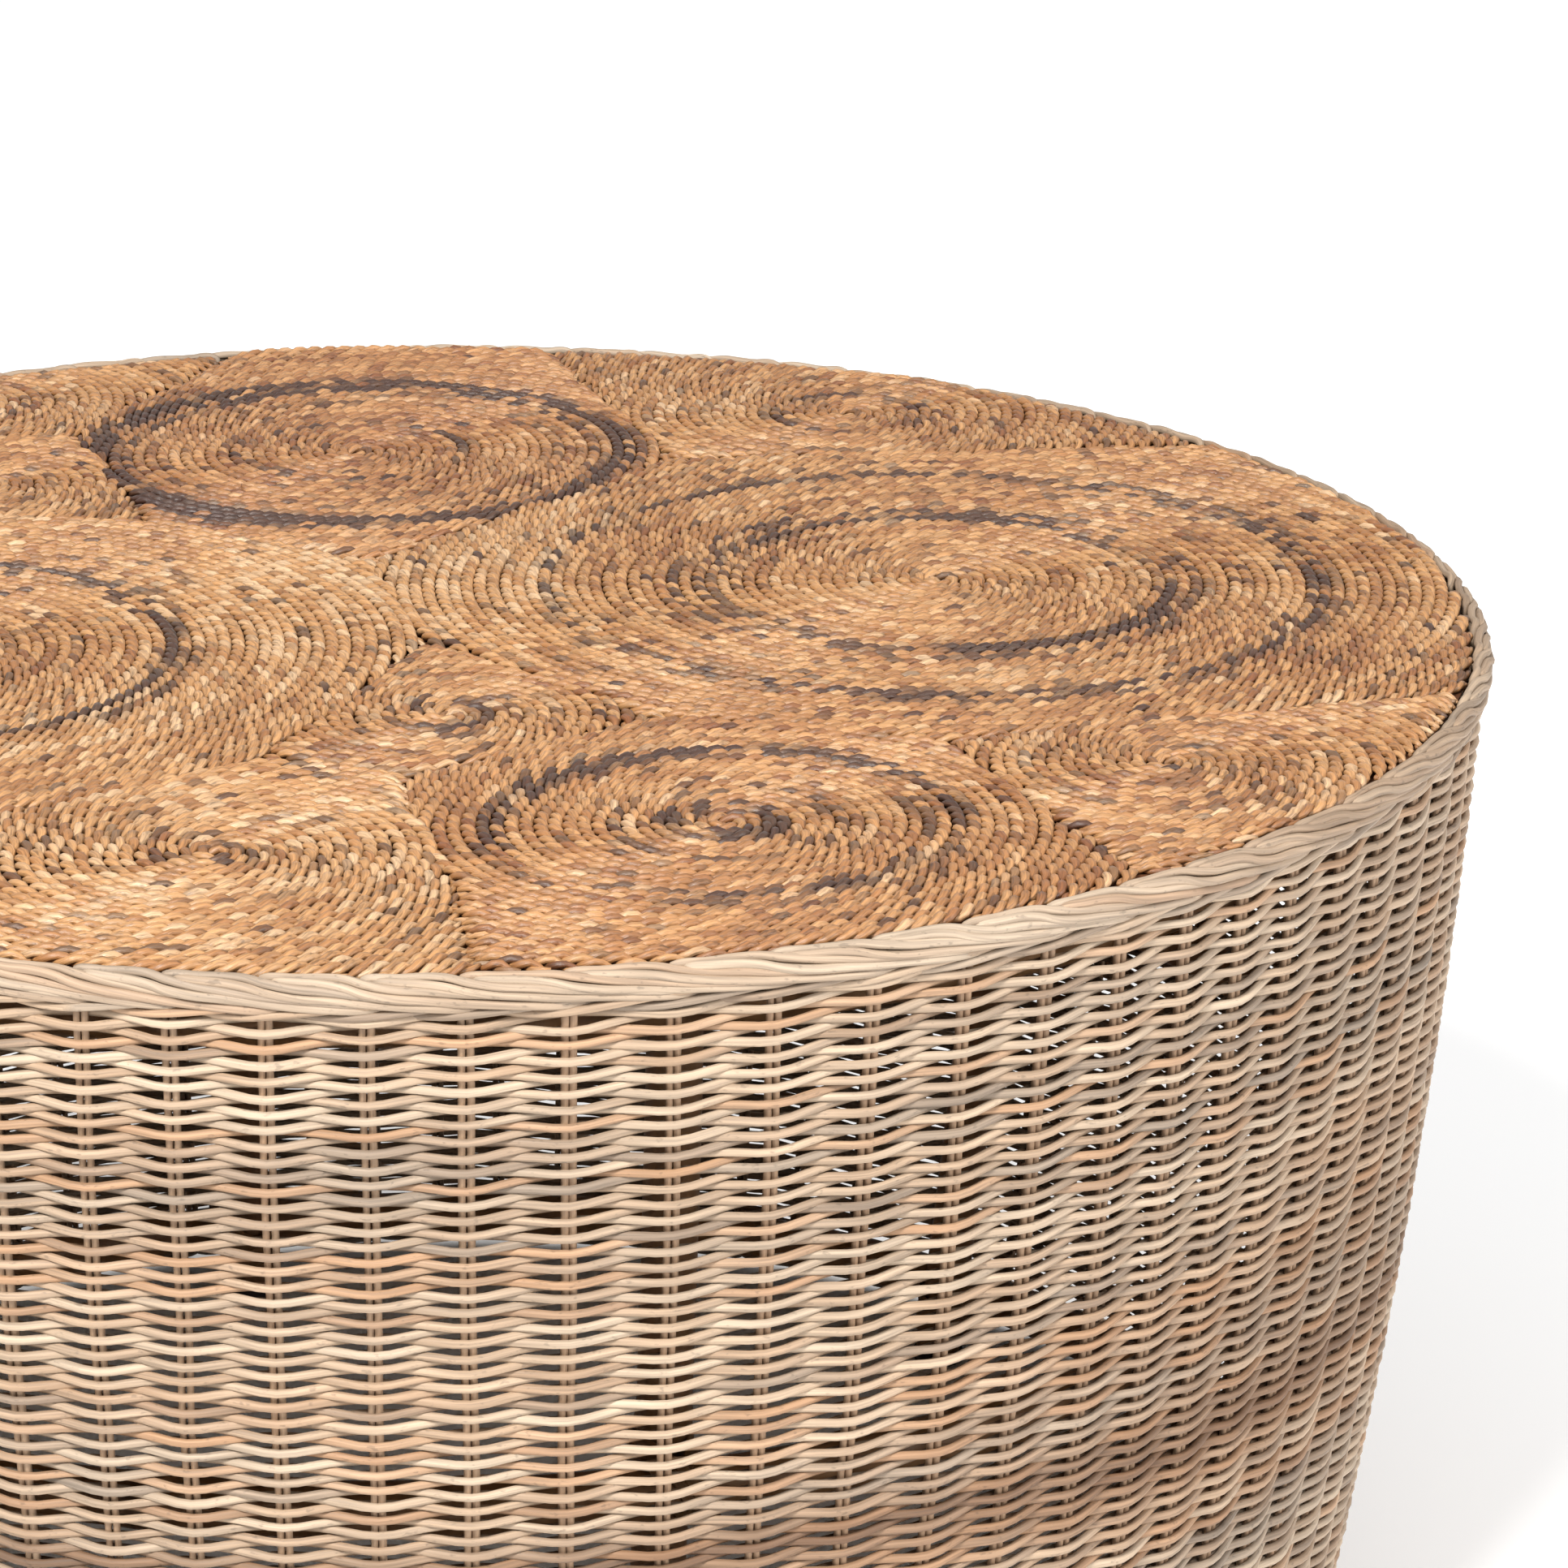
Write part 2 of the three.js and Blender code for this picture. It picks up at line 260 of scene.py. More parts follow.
# ------------------------------------------------------------------ materials
def fibre(name, rough=0.6, lo=0.70, hi=1.18, along=34.0, across=2.6, bump=0.25, dist=0.0004,
          fleck=0.25, fleck_at=0.62, spec=0.35, fine=260.0):
    """Plant fibre: the strand's own colour, broken up by streaks along the strand and small dark flecks."""
    mat = bpy.data.materials.new(name)
    mat.use_nodes = True
    nt = mat.node_tree
    nt.nodes.clear()
    N, L = nt.nodes.new, nt.links.new
    out = N("ShaderNodeOutputMaterial")
    bs = N("ShaderNodeBsdfPrincipled")
    bs.inputs["Roughness"].default_value = rough
    bs.inputs["Specular IOR Level"].default_value = spec
    L(bs.outputs[0], out.inputs[0])
    tone = N("ShaderNodeAttribute")
    tone.attribute_name = "tone"
    st = N("ShaderNodeAttribute")
    st.attribute_name = "strand"

    def noise(sx, sy, detail=3.0, rough_=0.55):
        mp = N("ShaderNodeMapping")
        mp.inputs["Scale"].default_value = (sx, sy, sy)
        L(st.outputs["Vector"], mp.inputs["Vector"])
        no = N("ShaderNodeTexNoise")
        no.inputs["Scale"].default_value = 1.0
        no.inputs["Detail"].default_value = detail
        no.inputs["Roughness"].default_value = rough_
        L(mp.outputs[0], no.inputs["Vector"])
        return no.outputs["Fac"]

    def rng(sock, a, b, c, d):
        mr = N("ShaderNodeMapRange")
        for k, val in zip(("From Min", "From Max", "To Min", "To Max"), (a, b, c, d)):
            mr.inputs[k].default_value = val
        L(sock, mr.inputs["Value"])
        return mr.outputs[0]

    def mul(a, b):
        mx = N("ShaderNodeMix")
        mx.data_type = "RGBA"
        mx.blend_type = "MULTIPLY"
        mx.inputs[0].default_value = 1.0
        L(a, mx.inputs[6])
        L(b, mx.inputs[7])
        return mx.outputs[2]

    streak = noise(along, across)
    spots = noise(fine, 0.9, 2.0, 0.6)
    c = mul(tone.outputs["Color"], rng(streak, 0.30, 0.72, lo, hi))
    c = mul(c, rng(spots, fleck_at, fleck_at + 0.10, 1.0, 1.0 - fleck))
    L(c, bs.inputs["Base Color"])
    if bump > 0:
        bp = N("ShaderNodeBump")
        bp.inputs["Strength"].default_value = bump
        bp.inputs["Distance"].default_value = dist
        L(noise(along * 2.2, across * 2.4, 2.0), bp.inputs["Height"])
        L(bp.outputs[0], bs.inputs["Normal"])
    return mat


def plain(name, colour, rough=0.6, spec=0.4):
    mat = bpy.data.materials.new(name)
    mat.use_nodes = True
    bs = mat.node_tree.nodes["Principled BSDF"]
    bs.inputs["Base Color"].default_value = (*colour, 1)
    bs.inputs["Roughness"].default_value = rough
    bs.inputs["Specular IOR Level"].default_value = spec
    return mat


M_RATTAN = fibre("rattan_core", rough=0.62, lo=0.66, hi=1.18, along=30, across=1.7, fleck=0.30, fleck_at=0.62)
M_STAKE = fibre("rattan_stake", rough=0.62, lo=0.74, hi=1.14, along=30, across=1.5, fleck=0.2, fleck_at=0.66)
M_ROPE = fibre("twisted_fibre_rope", rough=0.42, lo=0.60, hi=1.28, along=60, across=2.6, bump=0.5,
               fleck=0.45, fleck_at=0.59, spec=0.55, fine=190)
M_POLE = fibre("rattan_pole", rough=0.42, lo=0.86, hi=1.08, along=14, across=3.0, bump=0.12, fleck=0.25,
               fleck_at=0.66, fine=70)
M_PEEL = fibre("rattan_peel", rough=0.45, lo=0.82, hi=1.12, along=40, across=2.0, bump=0.2, fleck=0.2)
M_GLIDE = plain("glide_rubber", lin(58, 46, 40), 0.7)

# ------------------------------------------------------------------ colours of the wall strands
CREAM = lin(238, 214, 188)
TAN = lin(214, 184, 155)
BROWN = lin(176, 143, 116)
GREY = lin(160, 143, 128)
PEACH = lin(212, 160, 116)
UMBER = lin(128, 92, 66)
WALL_GAIN = 0.455


def field(a, z, blobs):
    """Sum of soft patches on the wall: azimuth, height, half sizes (degrees, metres) and amount."""
    out = np.zeros(np.broadcast(a, z).shape)
    for ba, bz, wa, wz, amt in blobs:
        da = (np.degrees(a) - ba + 180) % 360 - 180
        out += amt * np.exp(-(da / wa) ** 2 - ((z - bz) / wz) ** 2)
    return out


GREY_PATCH = [(-8, .345, 14, .040, .35), (14, .335, 12, .018, .40), (2, .386, 10, .014, .35),
              (24, .385, 8, .008, .45), (34, .300, 12, .020, .30), (50, .345, 20, .030, .25),
              (36, .405, 6, .010, .35), (-14, .260, 10, .018, .30), (12, .215, 14, .018, .35),
              (110, .330, 25, .030, .35), (160, .260, 20, .022, .35), (205, .375, 22, .020, .40),
              (250, .300, 24, .028, .35), (300, .340, 20, .020, .40), (330, .245, 18, .018, .30)]
PEACH_PATCH = [(38, .262, 16, .020, .40), (62, .300, 14, .030, .30), (44, .195, 26, .030, .45),
               (-10, .275, 12, .012, .35), (20, .195, 20, .014, .45), (70, .390, 18, .025, .25),
               (-2, .420, 20, .010, .20), (130, .200, 30, .030, .40), (190, .310, 22, .026, .35),
               (235, .205, 26, .026, .45), (285, .270, 24, .020, .35), (335, .380, 20, .018, .30)]
UMBER_PATCH = [(48, .200, 30, .016, .75), (12, .207, 26, .009, .55), (52, .258, 26, .010, .42),
               (28, .412, 9, .008, .40), (58, .405, 18, .012, .30), (40, .085, 40, .012, .45),
               (62, .150, 26, .008, .30), (-20, .205, 18, .010, .50), (120, .204, 40, .013, .60),
               (180, .262, 30, .010, .45), (215, .150, 40, .012, .45), (262, .206, 36, .013, .60),
               (310, .208, 28, .011, .55), (300, .400, 20, .008, .40), (350, .100, 40, .012, .40)]


def wall_colour(a, z, u, run, seed):
    """Colour along a strand: azimuth, height, length along it, number of the length of material."""
    r1, r2, r3 = hsh(run, seed), hsh(run, seed + 11), hsh(run, seed + 23)
    slow = n3(np.cos(a) * 2.6, np.sin(a) * 2.6, z * 22, 41)
    slow2 = n3(np.cos(a) * 1.7 + 9, np.sin(a) * 1.7, z * 30, 57)
    wob = n1(u / 0.055, seed + 5)
    wob2 = n1(u / 0.16, seed + 6)
    t = 0.34 + 0.42 * (r1 - 0.5) + 0.20 * slow + 0.16 * wob + 0.12 * wob2
    c = mix(CREAM, TAN, step(0.0, 0.55, t))
    c = mix(c, BROWN, step(0.5, 1.0, t))
    g = field(a, z, GREY_PATCH) + 0.55 * step(0.25, 0.8, slow2) + 0.6 * (r2 > 0.86) + 0.12 * wob2
    c = mix(c, GREY, np.clip(g, 0, 0.8))
    o = field(a, z, PEACH_PATCH) + 0.45 * step(0.3, 0.9, -slow2) + 0.55 * (r3 > 0.88) + 0.10 * wob
    c = mix(c, PEACH, np.clip(o, 0, 0.75))
    d = field(a, z, UMBER_PATCH)
    c = mix(c, UMBER, np.clip(d * (0.6 + 0.8 * r1), 0, 0.8))
    return c * (WALL_GAIN * np.array([1.0, 0.985, 0.95]))


def drift(s, z):
    """How far the stakes wander along the wall, in metres."""
    return 0.0008 * n2(s, z / 0.12, 301, STAKES) + 0.0004 * n2(s, z / 0.045, 302, STAKES)


def lift(a, z):
    """How far the rows wander up and down, in metres."""
    bump = np.exp(-(((a + math.pi) % TAU - math.pi - 0.42) / 0.38) ** 2)
    return ((0.0019 - 0.016 * (0.431 - z)) * bump
            + 0.0007 * n3(np.cos(a) * 3.1, np.sin(a) * 3.1, z * 14, 71)
            + 0.0005 * n3(np.cos(a) * 8.0, np.sin(a) * 8.0, z * 30, 72))


# ------------------------------------------------------------------ weave
# Every weaver passes in front of one stake pair and behind the next, and climbs as it goes round.
# Its front pass hangs in a shallow bow; the next stake's pass comes out beneath its end.
SEG = 6
PITCH = 0.00615
SHIFT = -33.0 / 80.0 * PITCH
CLIMB = (2 * SHIFT + PITCH) / 2            # rise of one weaver per stake
Z_REF = 0.42203 - SHIFT                    # height of a front pass at stake 0
WEAVE_LOW, WEAVE_TOP = 0.0262, 0.4302
BOW = 0.00142
BANDS = 6
weave_lots = [Lot(8) for _ in range(BANDS)]
for q in (0, 1):
    for m in range(7):
        z1 = Z_REF + q * SHIFT - 64 * PITCH + m * PITCH
        sa = q + (WEAVE_LOW - z1) / CLIMB
        sb = q + (WEAVE_TOP - z1) / CLIMB
        sa = q + 1 + 2 * math.ceil((sa - q - 1) / 2)          # both ends lie behind a stake
        sb = q + 1 + 2 * math.floor((sb - q - 1) / 2)
        sd = 1000 + q * 50 + m
        cuts = [sa]
        for bnd in range(1, BANDS):
            zb = WEAVE_LOW + (WEAVE_TOP - WEAVE_LOW) * bnd / BANDS
            c = q + 1 + 2 * round((q + (zb - z1) / CLIMB - q - 1) / 2)
            cuts.append(c)
        cuts.append(sb)
        for bnd in range(BANDS):
            s = np.arange(cuts[bnd] * SEG, cuts[bnd + 1] * SEG + 1) / SEG
            sm = s % STAKES
            a = azim(s)
            zl = z1 + CLIMB * (s - q)
            d = np.abs((s - q + 1) % 2 - 1)
            w = np.where(d < 0.5, 0.5 + 0.5 * np.cos(TAU * d), 0.0)
            z = (zl + BOW * (1 - w) + lift(a, zl) + 0.00042 * n1(s, sd) + 0.0002 * n1(s * 2, sd + 7))
            r = wall_r(z) - 0.0044 + 0.00285 * np.cos(math.pi * (s - q)) + 0.00022 * n1(s + 0.5, sd + 3)
            aa = a + drift(sm, z) / r
            rad = np.stack([np.sin(aa), -np.cos(aa), np.zeros_like(aa)], -1)
            P = rad * r[:, None]
            P[:, 2] = z
            u = s * DA * 0.42 + 10 * hsh(sd, 9)
            lr = 2 * int(14 + 16 * hsh(sd, 8))
            run = np.floor((s - q - 1) / lr).astype(int) + sd * 13
            rr = 0.00172 * (1 + 0.07 * (2 * hsh(run, 3) - 1) + 0.05 * n1(u / 0.04, sd))
            col = wall_colour(aa, z, u, run, 17)
            weave_lots[bnd].add(P[None], rad[None], rr[None] * 0.97, rr[None], col[None], u[None], False,
                                turn=TAU * hsh(sd, 2))
for bnd, lot in enumerate(weave_lots):
    lot.build("weave_band_%02d" % (bnd + 1), "rattan", M_RATTAN, ["weavers_outer", "weavers_inner"])

# ------------------------------------------------------------------ stakes
lot = Lot(8)
zz = np.linspace(0.0125, 0.4385, 34)
idx = np.arange(STAKES)[:, None]
for sidei in (-1, 1):
    z = np.broadcast_to(zz, (STAKES, len(zz))).copy()
    r = wall_r(z) - 0.0044
    wob = 0.0002 * n2(idx * 3 + sidei, z / 0.05, 310)
    a = azim(idx + 0 * z) + (drift(idx + 0 * z, z) + sidei * 0.00150 + wob) / r
    rad = np.stack([np.sin(a), -np.cos(a), np.zeros_like(a)], -1)
    P = rad * r[..., None]
    P[..., 2] = z
    num = (idx * 2 + (sidei > 0)) + 0 * z.astype(int)
    u = z + 7 * hsh(num, 4)
    col = wall_colour(a, z * 0 + 0.2, u, num, 29)
    col = mix(col, lin(222, 186, 152) * WALL_GAIN, 0.6 + 0 * z) * 1.12
    rr = 0.00146 * (1 + 0.07 * (2 * hsh(num, 6) - 1))
    lot.add(P, rad, rr, rr, col, u, False)
lot.build("stakes", "stake", M_STAKE, ["stake_cage"])


# ------------------------------------------------------------------ wales
def wale(name, node, zc, amp, rf, depth, rad0, seed, flip=1):
    lot = Lot(8)
    seg = 8
    s = np.arange(STAKES * seg * 3) / seg          # a strand closes after three turns of the wall
    for q in range(1):
        s3 = s
        p = (s3 + q) % 3.0
        front = np.where(p < 1, 0.0, (1 - np.cos(math.pi * (p - 1))) / 2)
        zf = np.where((p >= 2.5) | (p < 1.5), -np.cos(math.pi * (((p + 0.5) % 3.0)) / 2),
                      np.cos(math.pi * (p - 1.5)))
        a = azim(s3)
        jit = 0.0003 * n1(s3 * 1.0, seed) + 0.0005 * n3(np.cos(a) * 3.1, np.sin(a) * 3.1, zc * 14, 71)
        z = zc + flip * amp * zf + jit
        base = wall_r(np.full_like(s, zc))
        r = base + rf - depth * front + 0.0002 * n1(s3, seed + 3)
        aa = a + drift(s3 % STAKES, z) / r
        rad = np.stack([np.sin(aa), -np.cos(aa), np.zeros_like(aa)], -1)
        P = rad * r[:, None]
        P[:, 2] = z
        u = s3 * DA * 0.43
        run = np.floor(s3 / 41.0).astype(int) + seed
        rr = rad0 * (1 + 0.06 * (2 * hsh(run, 3) - 1) + 0.05 * n1(u / 0.04, seed))
        col = wall_colour(aa, z, u, run, seed)
        lot.add(P[None], rad[None], rr[None], rr[None], col[None], u[None], True)
    return lot.build(name, "rattan", M_RATTAN, [node])


wale("wale_top", "top_wale", 0.4348, 0.0029, -0.0010, 0.0066, 0.00172, 401)
wale("wale_bottom", "bottom_wale", 0.0209, 0.0026, -0.0010, 0.0066, 0.00164, 433)


# ------------------------------------------------------------------ plaited borders
def border(name, node, top, seed):
    """Each stake pair comes up inside, turns over the edge and runs down the outside behind the next ones."""
    lot = Lot(8)
    if top:
        sec = np.array([(440.9, 444.8), (442.3, 446.0), (444.1, 445.4), (445.4, 443.6), (446.0, 441.2),
                        (446.0, 438.4), (445.6, 435.6)])
        stub = 440.9
        zs = lambda z: z
        mid = (441.8, 440.6)
    else:
        sec = np.array([(388.6, 6.4), (389.9, 5.0), (391.7, 5.7), (393.0, 7.7), (393.5, 10.4),
                        (393.4, 13.2), (393.0, 16.0)])
        stub = 388.6
        zs = lambda z: 451.6 - z
        mid = (389.5, 11.0)
    arc = np.concatenate([[0], np.cumsum(np.linalg.norm(np.diff(sec, axis=0), axis=1))])
    tq = [0.0, 0.30, 0.60, 0.80, 1.00, 1.30, 1.60, 2.00, 2.40, 2.80]
    vq = [1.0, 1.20, 1.70, 2.80, 4.60, 6.30, 7.20, 9.00, 10.8, 12.2]
    vq = np.array(vq) * (arc[-1] - 2.4) / 12.4

    def S(q):
        return curve(arc, sec, np.clip(np.atleast_1d(q), 0, arc[-1]))

    i = np.arange(STAKES)[:, None]
    for k in (-1, 1):
        pts = []
        if k < 0:
            head = [(-0.046, stub, 433.0), (-0.046, stub, 439.5), (-0.044, stub + 0.1, 443.6),
                    (-0.026, stub + 0.5, 445.4), (0.04, stub + 1.1, 446.6), (0.16, stub + 1.5, 446.9)]
        else:
            head = [(0.044, stub + 0.2, 433.0), (0.044, stub + 0.3, 439.5), (0.050, stub + 0.8, 442.6),
                    (0.075, stub + 1.9, 444.7), (0.14, stub + 3.0, 445.7)]
        for t, r, z in head:
            pts.append((t, r, zs(z)))
        for t in (0.32, 0.55, 0.8, 1.0, 1.3, 1.6, 2.0, 2.4, 2.75):
            q = float(np.interp(t, tq, vq)) + 1.45 + 1.45 * k
            r, z = S(q)[0]
            lift_out = 0.7 - 1.4 * min(1.0, max(0.0, (t - 0.9) / 1.5))
            nr, nz = unit(np.array([r - mid[0], z - mid[1]]))
            pts.append((t, r + nr * lift_out, z + nz * lift_out))
        t, r, z = pts[-1]
        sgn = -1 if top else 1
        pts.append((2.95, r - 0.9, z + 0.5 * sgn))
        pts.append((3.15, r - 2.6, z + 1.0 * sgn))
        pts.append((3.35, r - 4.2, z + 1.3 * sgn))
        pts = np.array(pts)
        lam = np.concatenate([[0], np.cumsum(np.sqrt((np.diff(pts[:, 0]) * 36) ** 2
                                                     + (np.diff(pts[:, 1:], axis=0) ** 2).sum(1)) ** 0.7)])
        ll = np.linspace(0, lam[-1], 68)
        trz = curve(lam, pts, ll)
        t = trz[:, 0]
        num = i * 2 + (k > 0) + seed
        on = step(0.1, 0.6, t)
        r = trz[:, 1] * 0.001 + 0.00030 * n2(num, t * 1.7, seed + 1) + 0.00025 * (2 * hsh(num, seed + 2) - 1) * on
        z = trz[:, 2] * 0.001 + 0.00045 * n2(num, t * 1.7, seed + 3) * on
        if top:
            z = np.minimum(z, 0.44830)
        tt = t + 0.05 * n2(num, t * 0.8, seed + 4) * step(0.3, 1.2, t)
        zq = np.full_like(z, 0.436 if top else 0.016)
        a = azim(i + tt) + drift((i + 0 * t) + 0.0, zq) * (1 - step(0, 1.5, t)) / r
        rad = np.stack([np.sin(a), -np.cos(a), np.zeros_like(a)], -1)
        P = rad * r[..., None]
        P[..., 2] = z
        u = t * 0.036 + 9 * hsh(num, 4)
        c = np.array(mid)
        out = unit(np.stack([trz[:, 1] - c[0], trz[:, 2] - c[1]], -1))
        ref = rad * out[None, :, 0:1]
        ref[..., 2] = out[None, :, 1]
        num2 = num + 0 * z.astype(int)
        col = wall_colour(a, zq, u, num2, seed + 9)
        col = mix(col, CREAM * WALL_GAIN, 0.35 + 0 * z)
        # painted shade: the border strands on the right side, turned away from the key light, are darkened and warmed
        right_shade = (step(0.5, 1.0, a) * (1 - step(1.9, 2.6, a)))[..., None]
        col = col * (0.90 - right_shade * np.array([0.16, 0.20, 0.24]))
        w = 0.00172 * (1 + 0.06 * (2 * hsh(num2, 6) - 1) + 0.04 * n1(u / 0.03, seed))
        w = w * (1 - 0.35 * step(3.0, 3.35, t))
        lot.add(P, ref, w, w, col, u, False)
    return lot.build(name, "rattan", M_RATTAN, [node])


border("border_top", "top_border", True, 501)
border("border_bottom", "bottom_border", False, 557)

# ------------------------------------------------------------------ rope spirals
MED = [(0.496, 0.068, .48), (-0.048, 0.551, .30), (0.456, 0.680, .23), (-0.499, -0.114, .48),
       (0.034, -0.326, .15), (-0.160, -0.687, .22), (0.258, -0.632, .28), (0.646, -0.490, .18),
       (-0.410, 0.450, .20), (-0.740, 0.370, .22), (-0.470, 0.760, .18), (-0.545, -0.700, .20)]
MED_M = [(x * R0, y * R0, w * R0) for x, y, w in MED]
ROPE = 0.0054
RIM = 0.4403
R_LIGHT = lin(252, 216, 166)
R_MID = lin(230, 178, 116)
R_BASE = lin(202, 146, 88)
R_DEEP = lin(158, 102, 58)
R_DARK = lin(72, 44, 34)
ROPE_GAIN = 0.475
# per medallion: lightness shift, pinkness, rings of dark rope (radius, width, amount), all in units of R0
MEDTONE = [
    (0.00, 0.0, [(.367, .012, .75), (.224, .020, .95), (.070, .012, .35), (.30, .010, .25)]),
    (-.08, .35, [(.262, .022, .95), (.110, .010, .60), (.20, .012, .35)]),
    (0.00, .10, [(.070, .014, .55), (.15, .010, .30)]),
    (0.06, 0.0, [(.289, .016, .85), (.16, .012, .40)]),
    (0.02, .1, [(.045, .014, .75), (.10, .010, .35)]),
    (0.16, 0.0, [(.028, .012, .85), (.12, .010, .25)]),
    (-.02, .2, [(.190, .016, .75), (.040, .016, .80), (.10, .012, .45)]),
    (0.00, .1, [(.050, .012, .60), (.12, .012, .35)]),
    (0.00, .1, [(.06, .012, .4), (.14, .012, .35)]),
    (0.04, 0.0, [(.05, .012, .5), (.16, .012, .4)]),
    (0.02, .1, [(.08, .012, .5)]),
    (0.05, 0.0, [(.05, .012, .5), (.13, .012, .4)]),
]


def cell_gap(i, x, y):
    """Distance inside the edge of medallion i's own patch of the top."""
    xi, yi, wi = MED_M[i]
    g = RIM - np.hypot(x, y) - ROPE * 0.22
    wav = 0.0030 * n2(x / 0.022, y / 0.022, 640)
    for j, (xj, yj, wj) in enumerate(MED_M):
        if j != i:
            L = math.hypot(xj - xi, yj - yi)
            di = (x - xi) ** 2 + (y - yi) ** 2 - wi ** 2
            dj = (x - xj) ** 2 + (y - yj) ** 2 - wj ** 2
            g = np.minimum(g, (dj - di) / (2 * L) + (wav if i < j else -wav) + ROPE * 0.16)
    return g


def rope_tone(i, rad, th, x, y, u, ply, bead, seed):
    lightness, pink, rings = MEDTONE[i]
    a = 0.9 * (2 * hsh(bead, seed) - 1) + 0.5 * n1(u / 0.016 + 50 * ply, seed)
    b = n1(u / 0.050 + 90 * ply, seed + 1)
    c = n1(u / 0.30, seed + 2)
    e = n2(x / 0.05, y / 0.05, 611)
    zone = np.exp(-((x + 0.02) ** 2 + (y - 0.03) ** 2) / 0.09 ** 2)
    t = 0.50 + lightness + 0.27 * a + 0.22 * b + 0.10 * c + 0.10 * e + 0.22 * zone
    col = mix(R_DEEP, R_BASE, step(0.0, 0.40, t))
    col = mix(col, R_MID, step(0.35, 0.70, t))
    col = mix(col, R_LIGHT, step(0.68, 1.05, t))
    col = col * (1 + pink * 0.5 * (np.array([0.98, 0.86, 0.98]) - 1))
    d = np.zeros_like(rad)
    for k, (r0, w, amt) in enumerate(rings):
        rr = r0 * R0 + 0.004 * n1(th * 0.7 + 3 * k, seed + 30 + k)
        g = np.exp(-((rad - rr) / (1.45 * w * R0)) ** 2)
        arc = 0.5 + 0.5 * step(-0.7, 0.2, n1(th * 0.8 + 11 * k, seed + 40 + k))
        d = np.maximum(d, amt * g * arc)
    patch = 0.6 * n1(u / 0.024 + 31 * ply, seed + 3) + 0.6 * (2 * hsh(bead, seed + 3) - 1)
    dark = np.clip(step(0.92 - 1.15 * d, 1.32 - 1.15 * d, patch * 0.6 + 0.5), 0, 1) * np.clip(0.35 + d, 0, 1)
    stray = step(0.94, 0.985, hsh(bead, seed + 4)) * 0.75 + 0.5 * step(0.72, 0.95, n1(u / 0.02 + 17 * ply, seed + 4))
    col = mix(col, R_DARK, np.clip(np.maximum(dark * (d > 0.02), stray), 0, 0.92))
    return col * (ROPE_GAIN * np.array([0.965, 0.89, 0.90]))


def rope_runs(i):
    """The turns of spiral i that fall in its own patch, as lists of points."""
    xi, yi, wi = MED_M[i]
    rmax = 0.36
    th0 = 1.3
    turns = rmax / ROPE
    th = np.linspace(th0, TAU * turns, int(turns * 720))
    ph = TAU * hsh(i, 77)
    hand = 1 if hsh(i, 78) > 0.4 else -1
    rad = ROPE * th / TAU
    wav = 0.0004 * n2(th / 1.1, rad / 0.03, 620 + i)
    x = xi + (rad + wav) * np.cos(ph + hand * th)
    y = yi + (rad + wav) * np.sin(ph + hand * th)
    g = cell_gap(i, x, y)
    inside = g > 0
    edges = np.flatnonzero(np.diff(inside.astype(int)))
    cuts = np.concatenate([[0], edges + 1, [len(th)]])
    runs = []
    for a, b in zip(cuts[:-1], cuts[1:]):
        if not inside[a]:
            continue
        seg = np.hypot(np.diff(x[a:b]), np.diff(y[a:b])).sum()
        if seg > 0.009:
            runs.append((x[a:b], y[a:b], rad[a:b], th[a:b]))
    return runs


LAY = 0.0142
PER_LAY = 6
PIECE_QUADS = 62000


